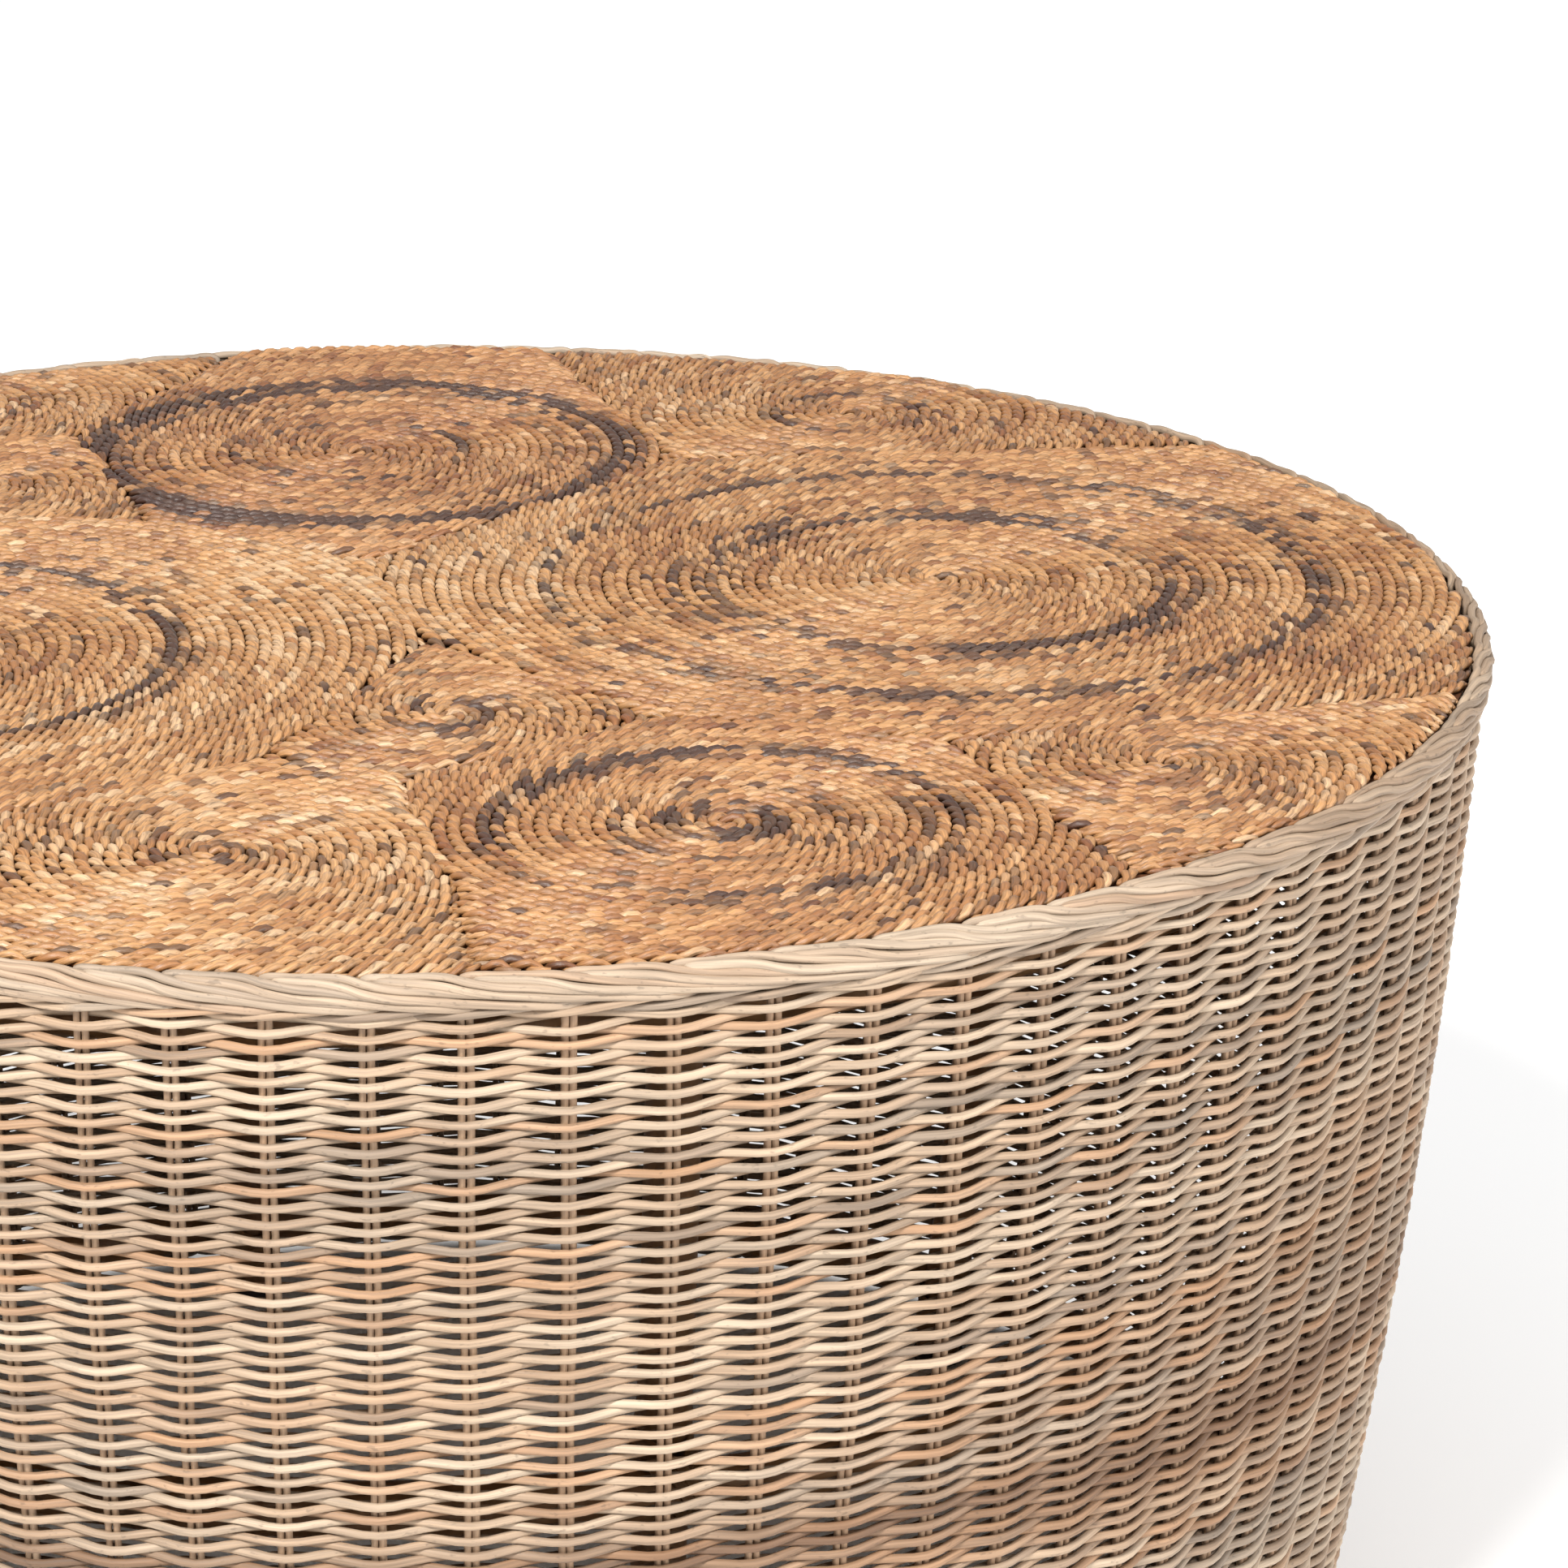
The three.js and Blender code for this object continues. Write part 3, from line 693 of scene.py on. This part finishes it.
def medallion(i):
    lots = [Lot(8)]
    ucount = 3.1 * i
    for rn, (x, y, rad, th) in enumerate(rope_runs(i)):
        ds = np.hypot(np.diff(x), np.diff(y))
        L = np.concatenate([[0], np.cumsum(ds)])
        n = max(8, int(round(L[-1] / LAY * PER_LAY)))
        q = np.linspace(0, L[-1], n)
        X, Y = np.interp(q, L, x), np.interp(q, L, y)
        RA, TH = np.interp(q, L, rad), np.interp(q, L, th)
        u = q + ucount
        ucount += L[-1] + 0.37
        sd = 700 + i * 40
        ends = np.minimum(q, L[-1] - q)
        tuck = 1 - step(0.0, 0.010, ends)
        inner = step(0.03, 0.25, RA)
        lay = (0.0158 if i == 5 else 0.0140) + 0.0004 * inner + 0.0006 * n1(u / 0.12, sd + 8)
        psi = TAU * np.concatenate([[0], np.cumsum(np.diff(q) / lay[1:])]) + TAU * hsh(rn + 50 * i, 3)
        Z = 0.44710 - 0.0013 * tuck + 0.00030 * n1(u / 0.035, sd + 5) + 0.00022 * n2(X / 0.03, Y / 0.03, 613)
        T = unit(np.stack([np.gradient(X), np.gradient(Y), np.zeros_like(X)], -1))
        right = np.stack([T[:, 1], -T[:, 0], np.zeros_like(X)], -1)
        up = np.array([0, 0, 1.0])
        wid = 1 + 0.05 * n1(u / 0.05, sd + 6)
        made = []
        for ply in (0, 1):
            p = psi + math.pi * ply
            h = 0.00138 * (1 - 0.5 * tuck)
            bead = np.floor((p + math.pi / 2) / TAU).astype(int) * 2 + ply + 5000 * rn
            C = np.stack([X, Y, Z], -1) + h[:, None] * (np.cos(p)[:, None] * right * 1.12 + np.sin(p)[:, None] * up)
            rp = 0.00156 * wid * (1 + 0.09 * (2 * hsh(bead, sd + 9) - 1) * np.maximum(0, np.sin(p))) * (1 - 0.4 * tuck)
            col = rope_tone(i, RA, TH, X, Y, u, ply, bead, sd)
            wide = rp * (1 + 0.22 * np.maximum(0, np.sin(p)))
            made.append((C, rp, wide, col, u * 1.06 + 40 * ply, 0.25 * p))
        for k0 in range(0, n - 1, 1500):
            k1 = min(n, k0 + 1501)
            if n - k1 < 60:
                k1 = n
            if lots[-1].faces() > PIECE_QUADS:
                lots.append(Lot(8))
            for C, rp, wide, col, uu, tn in made:
                m = slice(k0, k1)
                lots[-1].add(C[m][None], np.broadcast_to(up, C[m].shape)[None], rp[m][None], wide[m][None],
                             col[m][None], uu[m][None], False, turn=tn[m][None])
            if k1 == n:
                break
    lots = [l for l in lots if l.nv]
    node = "rope_medallion_%02d" % (i + 1)
    for k, l in enumerate(lots):
        name = node.replace("medallion", "spiral") + ("" if len(lots) == 1 else "_" + "abcdefgh"[k])
        l.build(name, "rope", M_ROPE, [node], res=512)
        print("rope", name, l.faces() * 2)


for i in range(12):
    medallion(i)


# ------------------------------------------------------------------ dark bed under the rope (partly painted shade in the coil gaps) and board
def disc(name, r, z0, z1, mat, nodes, n=128):
    ang = TAU * np.arange(n) / n
    e = min(0.0004, (z1 - z0) * 0.3)
    prof = [(0.0, z0), (r - e, z0), (r, z0 + e), (r, z1 - e), (r - e, z1), (0.0, z1)]
    vs = [(0, 0, z0)]
    for pr, pz in prof[1:-1]:
        vs += [(pr * math.cos(t), pr * math.sin(t), pz) for t in ang]
    vs.append((0, 0, z1))
    fs = []
    for j in range(n):
        k = (j + 1) % n
        fs.append((0, 1 + k, 1 + j))
        for m in range(3):
            a, b = 1 + m * n, 1 + (m + 1) * n
            fs.append((a + j, a + k, b + k, b + j))
        a = 1 + 3 * n
        fs.append((a + j, a + k, len(vs) - 1))
    me = bpy.data.meshes.new(name)
    me.from_pydata(vs, [], fs)
    me.update()
    me.shade_smooth()
    me.materials.append(mat)
    return place(name, me, nodes)


def board_material():
    mat = bpy.data.materials.new("plywood")
    mat.use_nodes = True
    nt = mat.node_tree
    N, L = nt.nodes.new, nt.links.new
    bs = nt.nodes["Principled BSDF"]
    bs.inputs["Roughness"].default_value = 0.6
    bs.inputs["Specular IOR Level"].default_value = 0.35
    tc = N("ShaderNodeTexCoord")
    mp = N("ShaderNodeMapping")
    mp.inputs["Scale"].default_value = (2.2, 26.0, 40.0)
    L(tc.outputs["Object"], mp.inputs["Vector"])
    no = N("ShaderNodeTexNoise")
    no.inputs["Scale"].default_value = 1.0
    no.inputs["Detail"].default_value = 5.0
    no.inputs["Distortion"].default_value = 0.8
    L(mp.outputs[0], no.inputs["Vector"])
    cr = N("ShaderNodeValToRGB")
    cr.color_ramp.elements[0].position = 0.34
    cr.color_ramp.elements[0].color = (*(lin(176, 132, 88)), 1)
    cr.color_ramp.elements[1].position = 0.68
    cr.color_ramp.elements[1].color = (*(lin(222, 186, 138)), 1)
    L(no.outputs["Fac"], cr.inputs["Fac"])
    L(cr.outputs[0], bs.inputs["Base Color"])
    return mat


# a thin dark brown sheet just under the rope, seen in the gaps between the coils: partly painted shade in those gaps,
# partly a dark backing colour
M_GAP_SHADE_BED = plain("rope_gap_shade_bed", lin(84, 50, 28), 0.85, 0.2)
disc("rope_gap_shade_bed", 0.4384, 0.4436, 0.4444, M_GAP_SHADE_BED, [])
M_BOARD = board_material()
for nm in ("top_board",):
    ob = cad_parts[nm]
    ob.data.materials.clear()
    ob.data.materials.append(M_BOARD)

# ------------------------------------------------------------------ frame poles
POLE = 0.011
P_LIGHT = lin(160, 118, 78)
P_MID = lin(128, 90, 56)
P_NODE = lin(70, 44, 28)


def pole(name, node, P, ref, closed, seed, nodes_every=0.27):
    lot = Lot(24)
    P = np.asarray(P)
    d = np.linalg.norm(np.diff(P, axis=0), axis=1)
    u = np.concatenate([[0], np.cumsum(d)])
    v = u + nodes_every * hsh(seed, 1)
    near = (v + nodes_every / 2 + 0.02 * n1(v, seed)) % nodes_every - nodes_every / 2
    ring = np.exp(-(near / 0.0035) ** 2)
    line = np.exp(-((near - 0.002) / 0.0013) ** 2)
    r = (POLE - 0.0006) * (1 + 0.018 * n1(u / 0.09, seed)) + 0.0007 * ring
    col = mix(P_LIGHT, P_MID, np.clip(0.5 + 0.6 * n1(u / 0.2, seed + 2), 0, 1))
    col = mix(col, P_NODE, np.clip(0.75 * line, 0, 1))
    lot.add(P[None], ref, r[None], r[None], col[None], (u + 5 * hsh(seed, 5))[None], closed)
    return lot.build(name, "pole", M_POLE, [node], res=512, ratio=2.0)


def ring_points(r, z, n):
    a = TAU * np.arange(n) / n
    return np.stack([r * np.sin(a), -r * np.cos(a), np.full(n, z)], -1)


UP = np.array([0.0, 0.0, 1.0])
pole("hoop_top", "frame_hoop_top", ring_points(0.419, 0.423, 288), UP, True, 801)
pole("hoop_middle", "frame_hoop_middle", ring_points(0.3993, 0.225, 288), UP, True, 802)
pole("hoop_bottom", "frame_hoop_bottom", ring_points(0.3685, 0.026, 288), UP, True, 803)


def post_r(z):
    x0, x1, x2 = 0.026, 0.225, 0.423
    y0, y1, y2 = 0.34464, 0.37532, 0.39495
    return (y0 * (z - x1) * (z - x2) / ((x0 - x1) * (x0 - x2))
            + y1 * (z - x0) * (z - x2) / ((x1 - x0) * (x1 - x2))
            + y2 * (z - x0) * (z - x1) / ((x2 - x0) * (x2 - x1)))


POST_AZ = [math.radians(13.7 + 60 * k) for k in range(6)]
for k, az in enumerate(POST_AZ):
    z = np.linspace(0.0063, 0.4338, 110)
    r = post_r(z)
    P = np.stack([r * math.sin(az), -r * math.cos(az), z], -1)
    pole("frame_post_%d" % (k + 1), "post_%d" % (k + 1), P, np.array([math.sin(az), -math.cos(az), 0.0]), False,
         810 + k)

for nm, y, hl, sd in (("front", -0.180, 0.3575, 831), ("centre", 0.0, 0.4050, 832), ("rear", 0.180, 0.3575, 833)):
    x = np.linspace(-hl, hl, 160)
    P = np.stack([x, np.full_like(x, y), np.full_like(x, 0.423)], -1)
    pole("joist_%s_pole" % nm, "joist_" + nm, P, UP, False, sd)


# ------------------------------------------------------------------ peel bindings
def binding(name, node, az, hr, hz):
    """Crossed wraps of flat peel round a hoop (outside) and a post (inside)."""
    pr = post_r(hz)
    er = np.array([math.sin(az), -math.cos(az), 0.0])
    et = np.array([math.cos(az), math.sin(az), 0.0])
    lot = Lot(8)
    rad = POLE + 0.0007
    mid = (hr + pr) / 2
    half = (hr - pr) / 2
    q = np.linspace(-1, 1, 22)
    beta = q * math.pi / 2
    tmax = 0.0085
    for dg, hand in ((0, 1), (1, -1)):
        for turn in (-1, 0, 1):
            sh = turn * 0.0050
            rd = rad + 0.0009 * dg
            # round the hoop, outer face
            hr_ = half + rd * np.cos(beta)
            hz_ = rd * np.sin(beta)
            ht_ = hand * (tmax * q) + sh
            n_h = np.stack([np.cos(beta), 0 * beta, np.sin(beta)], -1)
            # round the post, inner face, coming back
            b2 = beta[::-1]
            pr_ = -half - rd * np.cos(b2)
            pt_ = hand * rd * np.sin(b2)
            pz_ = tmax * q[::-1] - hand * sh
            n_p = np.stack([-np.cos(b2), hand * np.sin(b2), 0 * b2], -1)
            H = np.stack([hr_, ht_, hz_], -1)
            Pp = np.stack([pr_, pt_, pz_], -1)
            w = np.linspace(0, 1, 8)[1:-1, None]
            J1 = H[-1] * (1 - w) + Pp[0] * w
            J2 = Pp[-1] * (1 - w) + H[0] * w
            K1 = unit(n_h[-1] * (1 - w) + n_p[0] * w)
            K2 = unit(n_p[-1] * (1 - w) + n_h[0] * w)
            loc = np.concatenate([H, J1, Pp, J2])
            nor = np.concatenate([n_h, K1, n_p, K2])
            # light smoothing so the wrap turns gently
            for _ in range(2):
                loc = (np.roll(loc, 1, 0) + 2 * loc + np.roll(loc, -1, 0)) / 4
                nor = unit((np.roll(nor, 1, 0) + 2 * nor + np.roll(nor, -1, 0)) / 4)
            W = er * (mid + loc[:, 0:1]) + et * loc[:, 1:2] + UP * (hz + loc[:, 2:3])
            NW = er * nor[:, 0:1] + et * nor[:, 1:2] + UP * nor[:, 2:3]
            sd = int(az * 100) + turn * 7 + dg * 31 + int(hz * 1000)
            u = np.arange(len(W)) * 0.0022 + hsh(sd, 1) * 6
            col = mix(lin(150, 112, 72), lin(116, 80, 48), np.clip(hsh(sd, 2) * 0.6 + 0.2 * n1(u / 0.02, sd) + 0.2, 0, 1))
            lot.add(W[None], NW[None], np.full((1, len(W)), 0.00055), np.full((1, len(W)), 0.00235), col[None],
                    u[None], True)
    return lot.build(name, "peel", M_PEEL, [node], res=256)


for k, az in enumerate(POST_AZ):
    binding("peel_binding_middle_%d" % (k + 1), "binding_middle_%d" % (k + 1), az, 0.3993, 0.225)
    binding("peel_binding_bottom_%d" % (k + 1), "binding_bottom_%d" % (k + 1), az, 0.3685, 0.026)


# ------------------------------------------------------------------ glides
def glide(k, az):
    r0 = post_r(0.0063)
    c = np.array([r0 * math.sin(az), -r0 * math.cos(az)])
    prof = [(0.0, 0.0), (0.0098, 0.0), (0.0108, 0.0004), (0.0112, 0.0012), (0.0119, 0.0052), (0.0116, 0.0060), (0.0, 0.0060)]
    n = 40
    ang = TAU * np.arange(n) / n
    vs = [(c[0], c[1], prof[0][1])]
    for pr, pz in prof[1:-1]:
        vs += [(c[0] + pr * math.cos(t), c[1] + pr * math.sin(t), pz) for t in ang]
    vs.append((c[0], c[1], prof[-1][1]))
    m = len(prof) - 2
    fs = []
    for j in range(n):
        q = (j + 1) % n
        fs.append((0, 1 + q, 1 + j))
        for i in range(m - 1):
            a, b = 1 + i * n, 1 + (i + 1) * n
            fs.append((a + j, a + q, b + q, b + j))
        a = 1 + (m - 1) * n
        fs.append((a + j, a + q, len(vs) - 1))
    name = "glide_pad_%d" % (k + 1)
    me = bpy.data.meshes.new(name)
    me.from_pydata(vs, [], fs)
    me.update()
    me.materials.append(M_GLIDE)
    place(name, me, ["glide_%d" % (k + 1)])


for k, az in enumerate(POST_AZ):
    glide(k, az)


# ------------------------------------------------------------------ floor, light, camera
def area(name, loc, target, size, power, colour=(1, 1, 1)):
    d = bpy.data.lights.new(name, "AREA")
    d.shape = "DISK"
    d.size = size
    d.energy = power
    d.color = colour
    ob = bpy.data.objects.new(name, d)
    bpy.context.scene.collection.objects.link(ob)
    ob.location = loc
    ob.rotation_euler = (Vector(target) - Vector(loc)).to_track_quat("-Z", "Y").to_euler()
    return ob


me = bpy.data.meshes.new("studio_floor")
s = 45.0
me.from_pydata([(-s, -s, 0), (s, -s, 0), (s, s, 0), (-s, s, 0)], [], [(0, 1, 2, 3)])
me.materials.append(plain("studio_floor", (0.93, 0.93, 0.93), 0.9, 0.1))
floor = bpy.data.objects.new("studio_floor", me)
bpy.context.scene.collection.objects.link(floor)

world = bpy.data.worlds.new("studio")
bpy.context.scene.world = world
world.use_nodes = True
nt = world.node_tree
bg = nt.nodes["Background"]
bg.inputs["Color"].default_value = (1, 1, 1, 1)
lp = nt.nodes.new("ShaderNodeLightPath")
mr = nt.nodes.new("ShaderNodeMapRange")
mr.inputs["To Min"].default_value = 0.80
mr.inputs["To Max"].default_value = 1.05
nt.links.new(lp.outputs["Is Camera Ray"], mr.inputs["Value"])
nt.links.new(mr.outputs[0], bg.inputs["Strength"])

area("key", (-1.5, -3.2, 3.6), (0, 0, 0.3), 1.2, 390, (1.0, 0.985, 0.96))
area("fill", (3.2, -2.0, 1.9), (0, 0, 0.2), 2.5, 120)

scene = bpy.context.scene
scene.view_settings.view_transform = "Standard"
scene.view_settings.look = "None"
scene.view_settings.exposure = 0.0

D, e, psi, thc, rho = 5.62824, .28984, .06443, .31974, .00442
fw = Vector((math.sin(psi) * math.cos(thc), math.cos(psi) * math.cos(thc), -math.sin(thc)))
rt = fw.cross(Vector((0, 0, 1))).normalized()
upv = rt.cross(fw)
rt2 = math.cos(rho) * rt + math.sin(rho) * upv
up2 = -math.sin(rho) * rt + math.cos(rho) * upv
cd = bpy.data.cameras.new("camera")
cd.sensor_width = 36
cd.lens = 139.8
cd.clip_end = 200
cam = bpy.data.objects.new("camera", cd)
scene.collection.objects.link(cam)
m = Matrix.Identity(4)
for i in range(3):
    m[i][0], m[i][1], m[i][2] = rt2[i], up2[i], -fw[i]
m[0][3], m[1][3], m[2][3] = 0.0, -D * math.cos(e) * R0, D * math.sin(e) * R0 + H0
cam.matrix_world = m
scene.camera = cam
